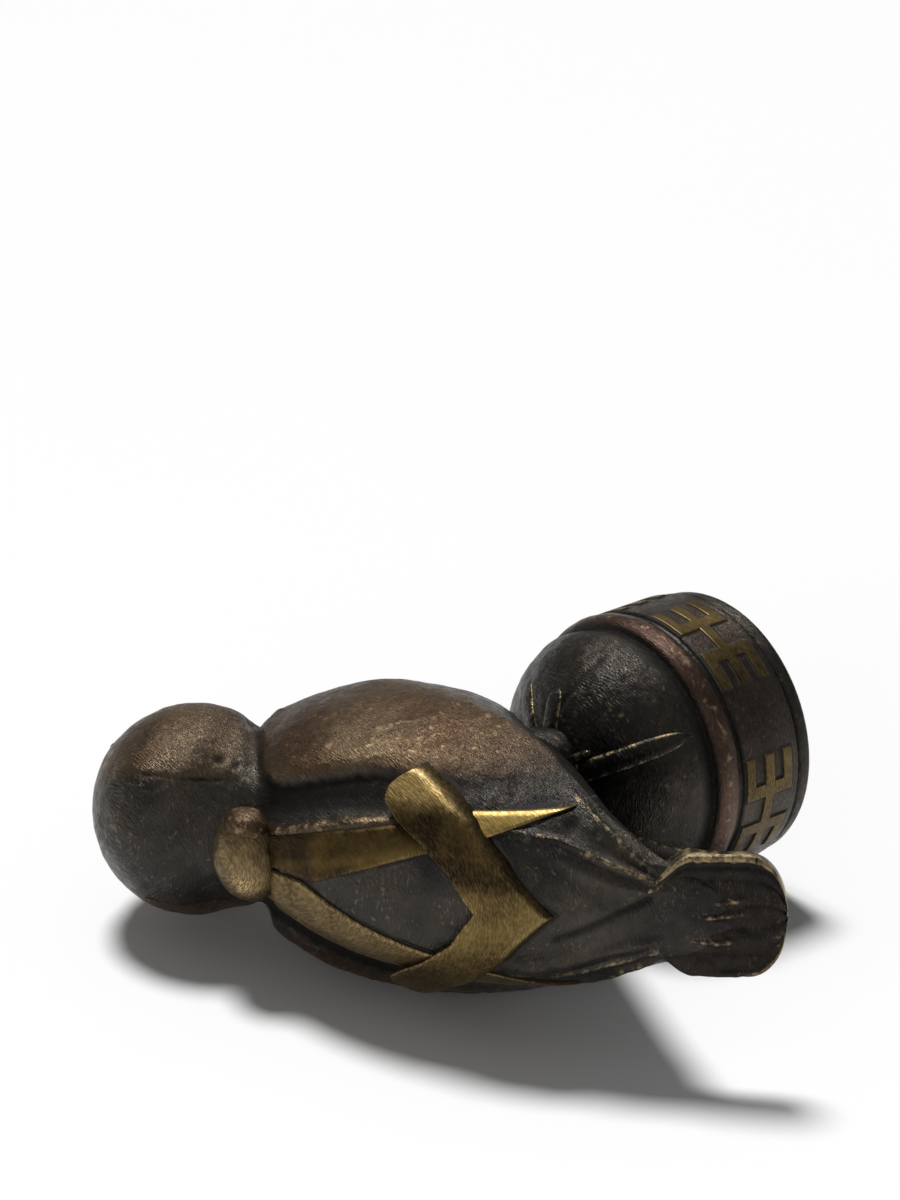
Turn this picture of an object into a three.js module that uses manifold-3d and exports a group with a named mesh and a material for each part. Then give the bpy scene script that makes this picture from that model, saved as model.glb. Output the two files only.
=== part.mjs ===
// A bronze owl perched on a domed base with a key fret band, lying on its flank.
// Millimetres. The owl is drawn upright: X towards the bill, Y to its left, Z up the base's axis,
// with the origin at the centre of the base's flat underside. A last turn lays it on its left flank.
import * as THREE from 'three';
import { mergeVertices } from 'three/addons/utils/BufferGeometryUtils.js';
import Module from 'manifold-3d';

const wasm = await Module();
wasm.setup();

// Driving dimensions
const HEAD_RADIUS = 14.2;
const HEAD_CENTRE = { x: 27.0, z: 71.6 };
const NECK_SLOPE = THREE.MathUtils.degToRad(27);
const BASE_RADIUS = 19.5;
const DRUM_HEIGHT = 17.8;
const DOME_HEIGHT = 13.2;
const JOINT_GAP = 0.3;

// Inlays: how far each stands above the bronze, and how deep it is let in
const STRAP_RISE = 0.5;
const CHEVRON_RISE = 1.2;
const INLAY_DEPTH = 0.9;
const FRET_RISE = 0.25;
const FRET_DEPTH = 0.8;

// How the owl lies on its left flank: the head a little down, and the axis of the base almost level.
// The surface it lies on is this far from the axis of the base, and leaves small worn flats
// on the base's rolled rim and on the wing.
const LIE_HEAD_DOWN = THREE.MathUtils.degToRad(5);
const LIE_TIP = THREE.MathUtils.degToRad(0.35);
const LIE_DISTANCE = 19.95;

const lerp = THREE.MathUtils.lerp;
const smooth = THREE.MathUtils.smoothstep;

// One rib of the bird: the back line and belly line in the mid-plane, the widest point between them,
// the half-width there, how square the upper half is, and how sharply the lower half is tucked in.
function rib(back, widest, half, belly, square, tuck) {
  return [back[0], back[1], widest[0], widest[1], half, belly[0], belly[1], square, tuck];
}

// The head is a ball: its ribs fan out round the neck's direction, from the brow to the nape.
function headRibs() {
  const forward = [Math.cos(NECK_SLOPE), Math.sin(NECK_SLOPE)];
  const up = [-forward[1], forward[0]];
  return [0, 20, 45, 72, 98, 120].map((degrees) => {
    const angle = THREE.MathUtils.degToRad(degrees);
    const reach = HEAD_RADIUS * Math.cos(angle);
    const radius = HEAD_RADIUS * Math.sin(angle);
    const middle = [HEAD_CENTRE.x + reach * forward[0], HEAD_CENTRE.z + reach * forward[1]];
    const back = [middle[0] + up[0] * radius, middle[1] + up[1] * radius];
    const belly = [middle[0] - up[0] * radius, middle[1] - up[1] * radius];
    return rib(back, middle, radius, belly, 2, 0);
  });
}

const BODY_RIBS = [
  rib([10.5, 75.8], [18.5, 65.4], 12.7, [27.5, 53.0], 2.05, 0),
  rib([6.0, 76.6], [13.5, 61.6], 15.9, [24.0, 46.0], 2.1, 0),
  rib([0.5, 76.4], [6.5, 57.2], 18.4, [18.0, 38.5], 2.12, 0),
  rib([-6.0, 75.5], [-1.5, 53.8], 19.1, [9.5, 33.0], 2.1, 0.05),
  rib([-13.0, 73.5], [-10.0, 51.2], 18.8, [0.0, 30.6], 2.1, 0.28),
  rib([-20.0, 70.0], [-19.0, 50.0], 17.1, [-9.0, 31.5], 2.08, 0.6),
  rib([-28.0, 64.6], [-27.5, 50.4], 13.8, [-18.5, 35.5], 2.1, 0.7),
  rib([-34.5, 59.6], [-33.5, 50.6], 11.0, [-28.0, 40.0], 2.15, 0.62),
  rib([-39.8, 54.6], [-39.2, 49.8], 8.4, [-36.5, 43.5], 2.3, 0.5),
  rib([-43.8, 50.4], [-43.2, 48.6], 6.5, [-41.4, 45.8], 2.5, 0.25),
  rib([-46.4, 47.3], [-46.2, 46.9], 4.9, [-45.0, 45.3], 2.4, 0.1),
  rib([-49.0, 43.9], [-48.9, 43.8], 2.4, [-48.6, 43.5], 2.2, 0),
];
const RIBS = [...headRibs(), ...BODY_RIBS];

// A smooth curve through the ribs, one column at a time
function ribAt(u) {
  const i = Math.min(Math.floor(u), RIBS.length - 2);
  const t = u - i;
  const b = RIBS[i];
  const c = RIBS[i + 1];
  return b.map((value, k) => {
    const before = i > 0 ? RIBS[i - 1][k] : 2 * value - c[k];
    const after = i < RIBS.length - 2 ? RIBS[i + 2][k] : 2 * c[k] - value;
    const slope = (c[k] - before) * t;
    const bend = (2 * before - 5 * value + 4 * c[k] - after) * t * t;
    const twist = (after - before + 3 * (value - c[k])) * t * t * t;
    return value + 0.5 * (slope + bend + twist);
  });
}

// The smooth skin of the bird: u runs from the brow to the tail's root, phi round from the back line
function skinPoint(u, phi) {
  const [backX, backZ, midX, midZ, half, bellyX, bellyZ, square, tuck] = ribAt(u);
  const across = Math.sin(phi);
  const rise = Math.cos(phi);
  if (rise > 0) {
    const share = rise ** (2 / square);
    const side = Math.sign(across) * Math.abs(across) ** (2 / square);
    return new THREE.Vector3(lerp(midX, backX, share), half * side, lerp(midZ, backZ, share));
  }
  const drop = -rise;
  const side = across * (1 - tuck * drop);
  return new THREE.Vector3(lerp(midX, bellyX, drop), half * side, lerp(midZ, bellyZ, drop));
}

function skinNormal(u, phi) {
  const step = 0.02;
  const low = Math.max(u - step, 0.05);
  const high = Math.min(u + step, RIBS.length - 1);
  const along = skinPoint(high, phi).sub(skinPoint(low, phi));
  const round = skinPoint(u, phi + step).sub(skinPoint(u, phi - step));
  return round.cross(along).normalize();
}

// A rounded ridge, of height 1 on its line
function ridge(distance, width) {
  return Math.exp(-((distance / width) ** 2));
}

// Broad carving over the skin: the wings stand proud of the neck and of a hollow beside the straps,
// long quills run from the chevron to the tail's root, and a rough ruff crosses the throat.
// A bridged skin has no hollow: the chevron spans it.
function carving({ x, y, z }, bridged) {
  const side = Math.abs(y);
  const wingEdge = lerp(14.8, 10.0, smooth(x, -10, 12));
  const onWing = smooth(side, wingEdge - 1.2, wingEdge + 1.6);
  const wingFront = Math.min(22, 13 + 1.25 * (71.5 - z));
  const wingLength = smooth(x, -30, -6) * (1 - smooth(x, wingFront - 3, wingFront));
  const wing = 0.8 * onWing * wingLength * smooth(z, 46, 54);
  const neckGroove = -0.8 * ridge(x - wingFront - 1, 1.6) * smooth(side, 8, 11) * smooth(z, 58, 64);
  const hollowLength = smooth(x, -30, -6) * (1 - smooth(x, 8, 14));
  const hollow = bridged ? 0 : -1.2 * ridge(side - wingEdge + 2.6, 2.2) * hollowLength;
  const quillLength = smooth(-x, 24, 30) * (1 - smooth(-x, 41, 45));
  const quillSide = lerp(9.2, 3.6, smooth(-x, 27, 43));
  const quill = 0.6 * ridge(side - quillSide, 0.9) * quillLength * smooth(z, 46, 54);
  const beforeThroat = (x - 21.5) * 0.81 + (z - 61.5) * 0.587;
  const ruff = 0.9 * ridge(beforeThroat, 1.6) * (1 - smooth(z, 60, 64.5));
  return wing + neckGroove + hollow + quill + ruff;
}

function bodyPoint(u, phi, offset, bridged) {
  const point = skinPoint(u, phi);
  const height = carving(point, bridged) + offset;
  return point.addScaledVector(skinNormal(u, phi), height);
}

// A closed mesh from rings of points; the end rings close to their middles, or flat when they are quads.
function ringSolid(rings, middles = true) {
  const count = rings[0].length;
  const positions = [];
  const indices = [];
  for (const ring of rings) {
    for (const point of ring) positions.push(point.x, point.y, point.z);
  }
  for (let i = 0; i < rings.length - 1; i += 1) {
    for (let j = 0; j < count; j += 1) {
      const a = i * count + j;
      const b = i * count + ((j + 1) % count);
      indices.push(a, a + count, b, b, a + count, b + count);
    }
  }
  const closeFlat = (first, flip) => {
    for (let j = 1; j < count - 1; j += 1) {
      const [a, b] = flip ? [first + j + 1, first + j] : [first + j, first + j + 1];
      indices.push(first, a, b);
    }
  };
  const close = (ring, first, flip) => {
    if (!middles) {
      closeFlat(first, flip);
      return;
    }
    const middle = new THREE.Vector3();
    for (const point of ring) middle.addScaledVector(point, 1 / count);
    const centre = positions.length / 3;
    positions.push(middle.x, middle.y, middle.z);
    for (let j = 0; j < count; j += 1) {
      const a = first + j;
      const b = first + ((j + 1) % count);
      indices.push(...(flip ? [centre, b, a] : [centre, a, b]));
    }
  };
  close(rings[0], 0, false);
  close(rings[rings.length - 1], (rings.length - 1) * count, true);
  const geometry = new THREE.BufferGeometry();
  geometry.setAttribute('position', new THREE.Float32BufferAttribute(positions, 3));
  geometry.setIndex(indices);
  return geometry;
}

function toSolid(geometry) {
  const bare = geometry.clone();
  bare.deleteAttribute('normal');
  bare.deleteAttribute('uv');
  const merged = mergeVertices(bare, 1e-4);
  const solid = new wasm.Manifold(new wasm.Mesh({
    numProp: 3,
    vertProperties: new Float32Array(merged.attributes.position.array),
    triVerts: new Uint32Array(merged.index.array),
  }));
  return solid;
}

function toGeometry(solid) {
  const mesh = solid.getMesh();
  const geometry = new THREE.BufferGeometry();
  geometry.setAttribute('position', new THREE.BufferAttribute(mesh.vertProperties, mesh.numProp));
  geometry.setIndex(new THREE.BufferAttribute(mesh.triVerts, 1));
  return geometry;
}

// The bird's head and body as one smooth form, grown or shrunk by an offset
function bodySolid(offset, bridged = false) {
  const rows = 36;
  const columns = 26;
  const rings = [];
  const first = 0.12;
  const last = RIBS.length - 1;
  for (let i = 0; i <= rows; i += 1) {
    const u = lerp(first, last, i / rows);
    const ring = [];
    for (let j = 0; j < columns; j += 1) {
      ring.push(bodyPoint(u, (-2 * Math.PI * j) / columns, offset, bridged));
    }
    rings.push(ring);
  }
  return toSolid(ringSolid(rings));
}

// The tail: a thin fan of feathers that slopes down behind the base
const TAIL_ROOT = { x: -42.1, z: 51.3 };
const TAIL_SLOPE = THREE.MathUtils.degToRad(45.5);
const TAIL_LENGTH = 17.0;
const TAIL_HALF = 8.6;
const TAIL_FEATHERS = 5;

function tailHalfWidth(s) {
  const flare = lerp(4.6, TAIL_HALF, smooth(s, -1.5, 5));
  const end = Math.max(0, (s - 11) / (TAIL_LENGTH - 11));
  return flare * Math.sqrt(Math.max(0, 1 - end ** 2.6 * 0.92));
}

function tailPoint(s, t, top) {
  const along = { x: -Math.cos(TAIL_SLOPE), z: -Math.sin(TAIL_SLOPE) };
  const out = { x: -Math.sin(TAIL_SLOPE), z: Math.cos(TAIL_SLOPE) };
  const feather = Math.abs(Math.sin(((t + 1) / 2) * TAIL_FEATHERS * Math.PI));
  const crown = 0.3 * feather ** 0.5 - 0.3;
  const thickness = lerp(3.6, 1.3, smooth(s, 0, 9));
  const lift = top ? crown : -thickness;
  return new THREE.Vector3(
    TAIL_ROOT.x + along.x * s + out.x * lift,
    t * tailHalfWidth(s),
    TAIL_ROOT.z + along.z * s + out.z * lift,
  );
}

function tailSolid() {
  const rows = 8;
  const columns = 10;
  const rings = [];
  for (let i = 0; i <= rows; i += 1) {
    const s = lerp(-3, TAIL_LENGTH, i / rows);
    const ring = [];
    for (let j = 0; j <= columns; j += 1) ring.push(tailPoint(s, lerp(1, -1, j / columns), true));
    for (let j = 0; j <= columns; j += 1) ring.push(tailPoint(s, lerp(-1, 1, j / columns), false));
    rings.push(ring);
  }
  return toSolid(ringSolid(rings));
}

// The base: a flat disc, a drum between two grooves, a rolled rim and a dome
function domeHeightAt(radius) {
  return DRUM_HEIGHT + DOME_HEIGHT * Math.sqrt(Math.max(0, 1 - (radius / (BASE_RADIUS - 0.6)) ** 2));
}

function baseSolid() {
  const profile = [
    [0, 0], [18.8, 0], [19.1, 0.3], [19.1, 1.9], [18.5, 2.3], [BASE_RADIUS, 2.8], [BASE_RADIUS, 12.9],
  ];
  const rimRadius = 2.05;
  const rimTurns = 4;
  for (let i = 0; i <= rimTurns; i += 1) {
    const angle = lerp(-75, 80, i / rimTurns) * (Math.PI / 180);
    const reach = 0.75 * rimRadius * (Math.cos(angle) - Math.cos(1.3));
    profile.push([BASE_RADIUS - 0.65 + reach, 15.4 + rimRadius * Math.sin(angle)]);
  }
  profile.push([18.4, DRUM_HEIGHT + 0.1]);
  const domeSteps = 5;
  for (let i = 0; i <= domeSteps; i += 1) {
    const radius = (BASE_RADIUS - 0.7) * Math.cos((i / domeSteps) * (Math.PI / 2));
    profile.push([i === domeSteps ? 0 : radius, domeHeightAt(radius)]);
  }
  const points = profile.map(([radius, height]) => new THREE.Vector2(radius, height));
  const lathe = new THREE.LatheGeometry(points, 360 / FRET_STEP);
  lathe.rotateX(Math.PI / 2);
  lathe.rotateZ(THREE.MathUtils.degToRad(FRET_CENTRES[0]));
  return toSolid(lathe);
}

// A limb: an ellipse carried along a path, with rounded ends
function limbSolid(pathAt, sideAt, halfWidth, halfHeight, rows = 5, columns = 6) {
  const rings = [];
  for (let i = 0; i <= rows; i += 1) {
    const t = i / rows;
    const centre = pathAt(t);
    const ahead = pathAt(Math.min(t + 0.01, 1)).sub(pathAt(Math.max(t - 0.01, 0))).normalize();
    const side = sideAt(t).normalize();
    const up = side.clone().cross(ahead).normalize();
    const round = Math.sqrt(Math.max(0.1, 1 - (2 * t - 1) ** 6));
    const ring = [];
    for (let j = 0; j < columns; j += 1) {
      const angle = (2 * Math.PI * j) / columns;
      ring.push(centre.clone()
        .addScaledVector(side, Math.cos(angle) * halfWidth * round)
        .addScaledVector(up, Math.sin(angle) * halfHeight * round));
    }
    rings.push(ring);
  }
  return toSolid(ringSolid(rings));
}

// Toes lie on the dome and run out from under the bird; one long claw of each foot points back.
const TOES = [
  { azimuth: 20, from: 5, to: 14.5, half: 1.7, high: 0.8 },
  { azimuth: 48, from: 5, to: 15.0, half: 1.7, high: 0.8 },
  { azimuth: 80, from: 4, to: 13.0, half: 1.7, high: 0.7 },
  { azimuth: 152, from: 3, to: 18.8, half: 1.7, high: 0.8 },
];

function toeSolid({ azimuth, from, to, half, high }, side) {
  const angle = THREE.MathUtils.degToRad(azimuth) * side;
  const pathAt = (t) => {
    const radius = lerp(from, to, t);
    return new THREE.Vector3(radius * Math.cos(angle), radius * Math.sin(angle), domeHeightAt(radius) - 0.1);
  };
  const sideAt = () => new THREE.Vector3(-Math.sin(angle), Math.cos(angle), 0);
  return limbSolid(pathAt, sideAt, half, high);
}

function ballSolid(centre, radii, columns = 16, rows = 8) {
  const ball = new THREE.SphereGeometry(1, columns, rows);
  ball.rotateX(Math.PI / 2);
  ball.scale(...radii);
  ball.translate(...centre);
  return toSolid(ball);
}

// The face looks forward: two eyes under a brow that meets above a short bill
function faceSolids() {
  const faceAt = (turn, lift, out) => {
    const yaw = THREE.MathUtils.degToRad(turn);
    const pitch = THREE.MathUtils.degToRad(lift);
    const reach = HEAD_RADIUS + out;
    return new THREE.Vector3(
      HEAD_CENTRE.x + reach * Math.cos(pitch) * Math.cos(yaw),
      reach * Math.cos(pitch) * Math.sin(yaw),
      HEAD_CENTRE.z + reach * Math.sin(pitch),
    );
  };
  const solids = [];
  for (const side of [-1, 1]) {
    solids.push(ballSolid(faceAt(26 * side, 2, -1.0).toArray(), [2.4, 2.9, 2.9], 8, 5));
    const browAt = (t) => faceAt(lerp(4, 36, t) * side, lerp(6, 22, t), -0.4);
    const browSide = () => new THREE.Vector3(0.2, 0, 1);
    solids.push(limbSolid(browAt, browSide, 1.1, 1.2));
  }
  const billAt = (t) => faceAt(0, lerp(4, -16, t), lerp(-0.4, 1.2, t));
  const billSide = () => new THREE.Vector3(0, 1, 0);
  solids.push(limbSolid(billAt, billSide, 1.5, 1.7));
  return solids;
}

// Thighs join the belly to the dome
function thighSolids() {
  return [-1, 1].map((side) => ballSolid([0.5, 5.0 * side, 33.5], [6.5, 5.0, 7.5], 10, 6));
}

// An upright prism over an outline in plan, used to cut the inlays and their beds
function prism(outline, low, grow = 0) {
  const high = 90;
  const grown = outline.map((point, i) => growCorner(outline, i, grow));
  const shape = new THREE.Shape(grown);
  const block = new THREE.ExtrudeGeometry(shape, { depth: high - low, bevelEnabled: false });
  block.translate(0, 0, low);
  return toSolid(block);
}

// Moves a corner of a counter-clockwise outline outwards so that both its edges move by the same distance
function growCorner(outline, index, grow) {
  const corner = new THREE.Vector2(...outline[index]);
  const before = new THREE.Vector2(...outline[(index + outline.length - 1) % outline.length]);
  const after = new THREE.Vector2(...outline[(index + 1) % outline.length]);
  const into = corner.clone().sub(before).normalize();
  const away = after.clone().sub(corner).normalize();
  const outOfInto = new THREE.Vector2(into.y, -into.x);
  const outOfAway = new THREE.Vector2(away.y, -away.x);
  const bisector = outOfInto.clone().add(outOfAway).normalize();
  const stretch = Math.max(0.4, bisector.dot(outOfInto));
  return corner.addScaledVector(bisector, grow / stretch);
}

const mirrored = (outline) => outline.map(([x, y]) => [x, -y]).reverse();

// Outlines in plan, counter-clockwise: the straps, the left one a little wider, and the chevron,
// whose point is towards the tail
const STRAP_LEFT = [
  [5.2, 0.15], [5.2, 6.4], [-8.6, 11.0], [-19.0, 12.6], [-30.2, 12.8],
  [-19.0, 7.4], [-10.5, 4.1], [-1.4, 0.15],
];
const STRAP_RIGHT = mirrored([
  [5.2, 0.15], [5.2, 4.2], [-5.2, 7.5], [-13.4, 9.8], [-21.0, 12.0], [-30.2, 12.6],
  [-24.5, 9.4], [-14.9, 5.4], [-3.4, 0.15],
]);
const CHEVRON_INSIDE = [[-22.3, 4.9], [-18.0, 8.4], [-14.2, 10.6], [-10.2, 13.2]];
const CHEVRON_OUTSIDE = [[-10.6, 15.3], [-12.4, 16.4], [-17.2, 14.1], [-22.4, 11.3], [-27.4, 7.1]];
const CHEVRON_LEFT_ARM = [...CHEVRON_INSIDE, ...CHEVRON_OUTSIDE];
const CHEVRON_OUTLINE = [[-25.4, 0], ...CHEVRON_LEFT_ARM, [-33.4, 0], ...mirrored(CHEVRON_LEFT_ARM)];

const KNOB_CENTRE = [9.6, 0, 76.4];
const KNOB_RADII = [5.4, 6.3, 4.7];

// A curved block of the fret band, between two steps round the band and two heights
const FRET_CENTRES = [244, 166, 94, 22, 310];
const FRET_STEP = 6;
const COMB_TIP = 4;
const COMB_BACK = [1, 2];
const FRET_ROWS = { low: [4.1, 5.7], middle: [7.4, 9.1], high: [11.0, 12.6] };

function bandBlock(centre, fromStep, toStep, [low, high], grow) {
  const inner = BASE_RADIUS - FRET_DEPTH - grow;
  const outer = BASE_RADIUS + FRET_RISE + (grow > 0 ? 2 : 0);
  const widen = THREE.MathUtils.radToDeg(grow / BASE_RADIUS);
  const rings = [];
  for (let step = fromStep; step <= toStep; step += 1) {
    const spread = step === fromStep ? -widen : step === toStep ? widen : 0;
    const angle = THREE.MathUtils.degToRad(centre + step * FRET_STEP + spread);
    const direction = [Math.cos(angle), Math.sin(angle)];
    const corner = (radius, z) => new THREE.Vector3(radius * direction[0], radius * direction[1], z);
    rings.push([
      corner(inner, low - grow), corner(outer, low - grow),
      corner(outer, high + grow), corner(inner, high + grow),
    ]);
  }
  return toSolid(ringSolid(rings, false));
}

// One key of the fret: two three-toothed combs, back to back, on a common middle bar
function fretSolid(centre, grow = 0) {
  const { low, middle, high } = FRET_ROWS;
  const [backNear, backFar] = COMB_BACK;
  let solid = bandBlock(centre, -COMB_TIP, COMB_TIP, middle, grow);
  for (const row of [low, high]) {
    solid = solid.add(bandBlock(centre, backNear, COMB_TIP, row, grow));
    solid = solid.add(bandBlock(centre, -COMB_TIP, -backNear, row, grow));
  }
  solid = solid.add(bandBlock(centre, backNear, backFar, [low[0], high[1]], grow));
  return solid.add(bandBlock(centre, -backFar, -backNear, [low[0], high[1]], grow));
}

// The bronze casting before the inlays' beds are cut
function castingSolid() {
  let casting = bodySolid(0).add(tailSolid()).add(baseSolid());
  for (const thigh of thighSolids()) casting = casting.add(thigh);
  for (const side of [-1, 1]) {
    for (const toe of TOES) casting = casting.add(toeSolid(toe, side));
  }
  for (const piece of faceSolids()) casting = casting.add(piece);
  return casting;
}

const bedFloor = bodySolid(-INLAY_DEPTH - JOINT_GAP);
const inlayFloor = bodySolid(-INLAY_DEPTH);
const strapTop = bodySolid(STRAP_RISE);
const strapClear = bodySolid(STRAP_RISE + JOINT_GAP);
const chevronTop = bodySolid(CHEVRON_RISE, true);
const knob = ballSolid(KNOB_CENTRE, KNOB_RADII);
const knobClear = ballSolid(KNOB_CENTRE, KNOB_RADII.map((radius) => radius + JOINT_GAP));

const STRAP_LOW = 50.6;
const CHEVRON_LOW = 56;
const strapOutlines = { left: STRAP_LEFT, right: STRAP_RIGHT };
const strapShell = strapTop.subtract(inlayFloor);
const straps = {};
let strapRoom = null;
for (const [name, outline] of Object.entries(strapOutlines)) {
  straps[name] = prism(outline, STRAP_LOW).intersect(strapShell).subtract(knobClear);
  const room = prism(outline, STRAP_LOW, JOINT_GAP).intersect(strapClear.subtract(bedFloor));
  strapRoom = strapRoom ? strapRoom.add(room) : room;
}
const chevronShell = chevronTop.subtract(inlayFloor);
const chevron = prism(CHEVRON_OUTLINE, CHEVRON_LOW).intersect(chevronShell).subtract(strapRoom);
const chevronRoom = prism(CHEVRON_OUTLINE, CHEVRON_LOW, JOINT_GAP).subtract(bedFloor);
let strapBeds = prism(strapOutlines.left, STRAP_LOW, JOINT_GAP);
strapBeds = strapBeds.add(prism(strapOutlines.right, STRAP_LOW, JOINT_GAP)).subtract(bedFloor);

// The turn that lays the upright owl down
const owl = new THREE.Group();
owl.rotation.set(Math.PI / 2 + LIE_TIP, 0, Math.PI);
const lying = new THREE.Group();
lying.rotation.y = -LIE_HEAD_DOWN;
lying.position.z = LIE_DISTANCE;
lying.add(owl);
lying.updateMatrixWorld(true);

// Everything below the surface it lies on, seen from the upright owl
function floorSolid() {
  const reach = 200;
  const block = new THREE.BoxGeometry(reach, reach, reach);
  block.translate(0, 0, -reach / 2);
  block.applyMatrix4(owl.matrixWorld.clone().invert());
  return toSolid(block);
}

let casting = castingSolid().subtract(chevronRoom).subtract(strapBeds).subtract(knobClear);
casting = casting.subtract(floorSolid());
const frets = [];
for (const centre of FRET_CENTRES) {
  frets.push(fretSolid(centre));
  casting = casting.subtract(fretSolid(centre, JOINT_GAP));
}

// Two materials: dark patinated bronze, and bright yellow brass
const BRONZE = { color: 0x4a3d33, roughness: 0.42, metalness: 0.9 };
const BRASS = { color: 0xb08a3e, roughness: 0.35, metalness: 1.0 };

function namedMesh(name, solid, look) {
  const mesh = new THREE.Mesh(toGeometry(solid), new THREE.MeshStandardMaterial(look));
  mesh.name = name;
  return mesh;
}

owl.add(namedMesh('owl_casting', casting, BRONZE));
owl.add(namedMesh('nape_knob', knob, BRASS));
owl.add(namedMesh('strap_left', straps.left, BRASS));
owl.add(namedMesh('strap_right', straps.right, BRASS));
owl.add(namedMesh('chevron', chevron, BRASS));
frets.forEach((solid, i) => owl.add(namedMesh(`fret_key_${i + 1}`, solid, BRASS)));

// The origin is under the middle of the lying owl
const extent = new THREE.Box3().setFromObject(lying, true);
const centre = extent.getCenter(new THREE.Vector3());
const group = new THREE.Group();
lying.position.x -= centre.x;
lying.position.y -= centre.y;
group.add(lying);

export default group;
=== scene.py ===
# A bronze owl figurine with brass inlays, lying on its flank on a pale floor.
import math

import bpy
import numpy as np
from mathutils import Matrix, Vector, noise
from mathutils.bvhtree import BVHTree


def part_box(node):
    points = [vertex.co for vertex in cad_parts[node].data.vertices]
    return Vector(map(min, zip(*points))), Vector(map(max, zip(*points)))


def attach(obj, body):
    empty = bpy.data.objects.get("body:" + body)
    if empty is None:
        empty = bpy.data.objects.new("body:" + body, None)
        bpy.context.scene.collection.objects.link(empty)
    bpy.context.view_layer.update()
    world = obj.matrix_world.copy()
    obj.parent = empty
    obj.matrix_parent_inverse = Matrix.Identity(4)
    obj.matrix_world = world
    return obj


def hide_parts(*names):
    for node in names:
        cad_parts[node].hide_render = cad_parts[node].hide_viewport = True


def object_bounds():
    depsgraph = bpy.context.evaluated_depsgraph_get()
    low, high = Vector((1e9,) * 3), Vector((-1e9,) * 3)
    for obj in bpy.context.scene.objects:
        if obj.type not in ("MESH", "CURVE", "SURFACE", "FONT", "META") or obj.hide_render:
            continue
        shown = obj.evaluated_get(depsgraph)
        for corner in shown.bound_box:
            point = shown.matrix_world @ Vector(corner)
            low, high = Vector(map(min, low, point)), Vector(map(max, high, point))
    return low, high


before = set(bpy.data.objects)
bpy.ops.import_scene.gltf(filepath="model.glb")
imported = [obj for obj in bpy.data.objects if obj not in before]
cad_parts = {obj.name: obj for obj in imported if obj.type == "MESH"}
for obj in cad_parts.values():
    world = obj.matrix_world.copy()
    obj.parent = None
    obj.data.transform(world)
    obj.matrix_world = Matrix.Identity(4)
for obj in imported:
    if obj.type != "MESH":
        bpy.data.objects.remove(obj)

cad_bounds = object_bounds()
BOX_LOW, BOX_HIGH = (np.array(corner) for corner in cad_bounds)

# The figurine is drawn upright in millimetres: X towards the bill, Y to its left, Z up the base's axis.
MM = 0.001
HEAD_RADIUS = 14.2
HEAD_CENTRE = (27.0, 71.6)
NECK_SLOPE = math.radians(27)
BASE_RADIUS = 19.5
DRUM_HEIGHT = 17.8
DOME_HEIGHT = 13.2
STRAP_RISE = 0.5
CHEVRON_RISE = 1.2
INLAY_DEPTH = 0.9
FRET_RISE = 0.25
KNOB_CENTRE = (9.6, 0, 76.4)
KNOB_RADII = (5.4, 6.3, 4.7)

# How it lies: on its left flank, the head a little down
LIE_HEAD_DOWN = math.radians(5)
LIE_TIP = math.radians(0.35)
LIE_TURN = np.array(
    Matrix.Rotation(-LIE_HEAD_DOWN, 3, "Y")
    @ Matrix.Rotation(math.pi / 2 + LIE_TIP, 3, "X")
    @ Matrix.Rotation(math.pi, 3, "Z")
)


def lie_shift():
    """The sideways shift is read off the knob, whose box is centred on it however it is turned."""
    low, high = (np.array(corner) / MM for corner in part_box("nape_knob"))
    middle = (low + high) / 2
    return middle - LIE_TURN @ np.array(KNOB_CENTRE)


LIE_SHIFT = lie_shift()


def to_world(points):
    """Upright figurine millimetres to lying metres"""
    return (np.asarray(points) @ LIE_TURN.T + LIE_SHIFT) * MM


def lerp(a, b, t):
    return a + (b - a) * t


def smooth(x, low, high):
    t = np.clip((np.asarray(x, dtype=float) - low) / (high - low), 0, 1)
    return t * t * (3 - 2 * t)


def bump(distance, width):
    """A rounded ridge of height 1 along a line"""
    return np.exp(-((distance / width) ** 2))


def line_distance(points, path):
    """Distance from each point to a polyline"""
    path = np.asarray(path, dtype=float)
    nearest = np.full(points.shape[:-1], np.inf)
    for start, end in zip(path[:-1], path[1:]):
        step = end - start
        t = np.clip(((points - start) @ step) / (step @ step), 0, 1)
        gap = np.linalg.norm(points - (start + t[..., None] * step), axis=-1)
        nearest = np.minimum(nearest, gap)
    return nearest


def grain(points, scale, seed=0.0):
    """Smooth noise at a list of points, from about -1 to 1"""
    flat = points.reshape(-1, 3) / scale + seed
    values = [noise.noise(Vector(p)) for p in flat]
    return np.array(values).reshape(points.shape[:-1])


# The ribs of the bird

def rib(back, widest, half, belly, square, tuck):
    """One cross-section: its back, widest and belly points in the bird's middle plane, half its width,
    how square its upper half is, and how far its lower half is tucked in"""
    return [*back, *widest, half, *belly, square, tuck]


def head_ribs():
    forward = (math.cos(NECK_SLOPE), math.sin(NECK_SLOPE))
    up = (-forward[1], forward[0])
    ribs = []
    for degrees in (0, 20, 45, 72, 98, 120):
        angle = math.radians(degrees)
        reach = HEAD_RADIUS * math.cos(angle)
        radius = HEAD_RADIUS * math.sin(angle)
        middle = [HEAD_CENTRE[k] + reach * forward[k] for k in range(2)]
        back = [middle[k] + up[k] * radius for k in range(2)]
        belly = [middle[k] - up[k] * radius for k in range(2)]
        ribs.append(rib(back, middle, radius, belly, 2, 0))
    return ribs


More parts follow.
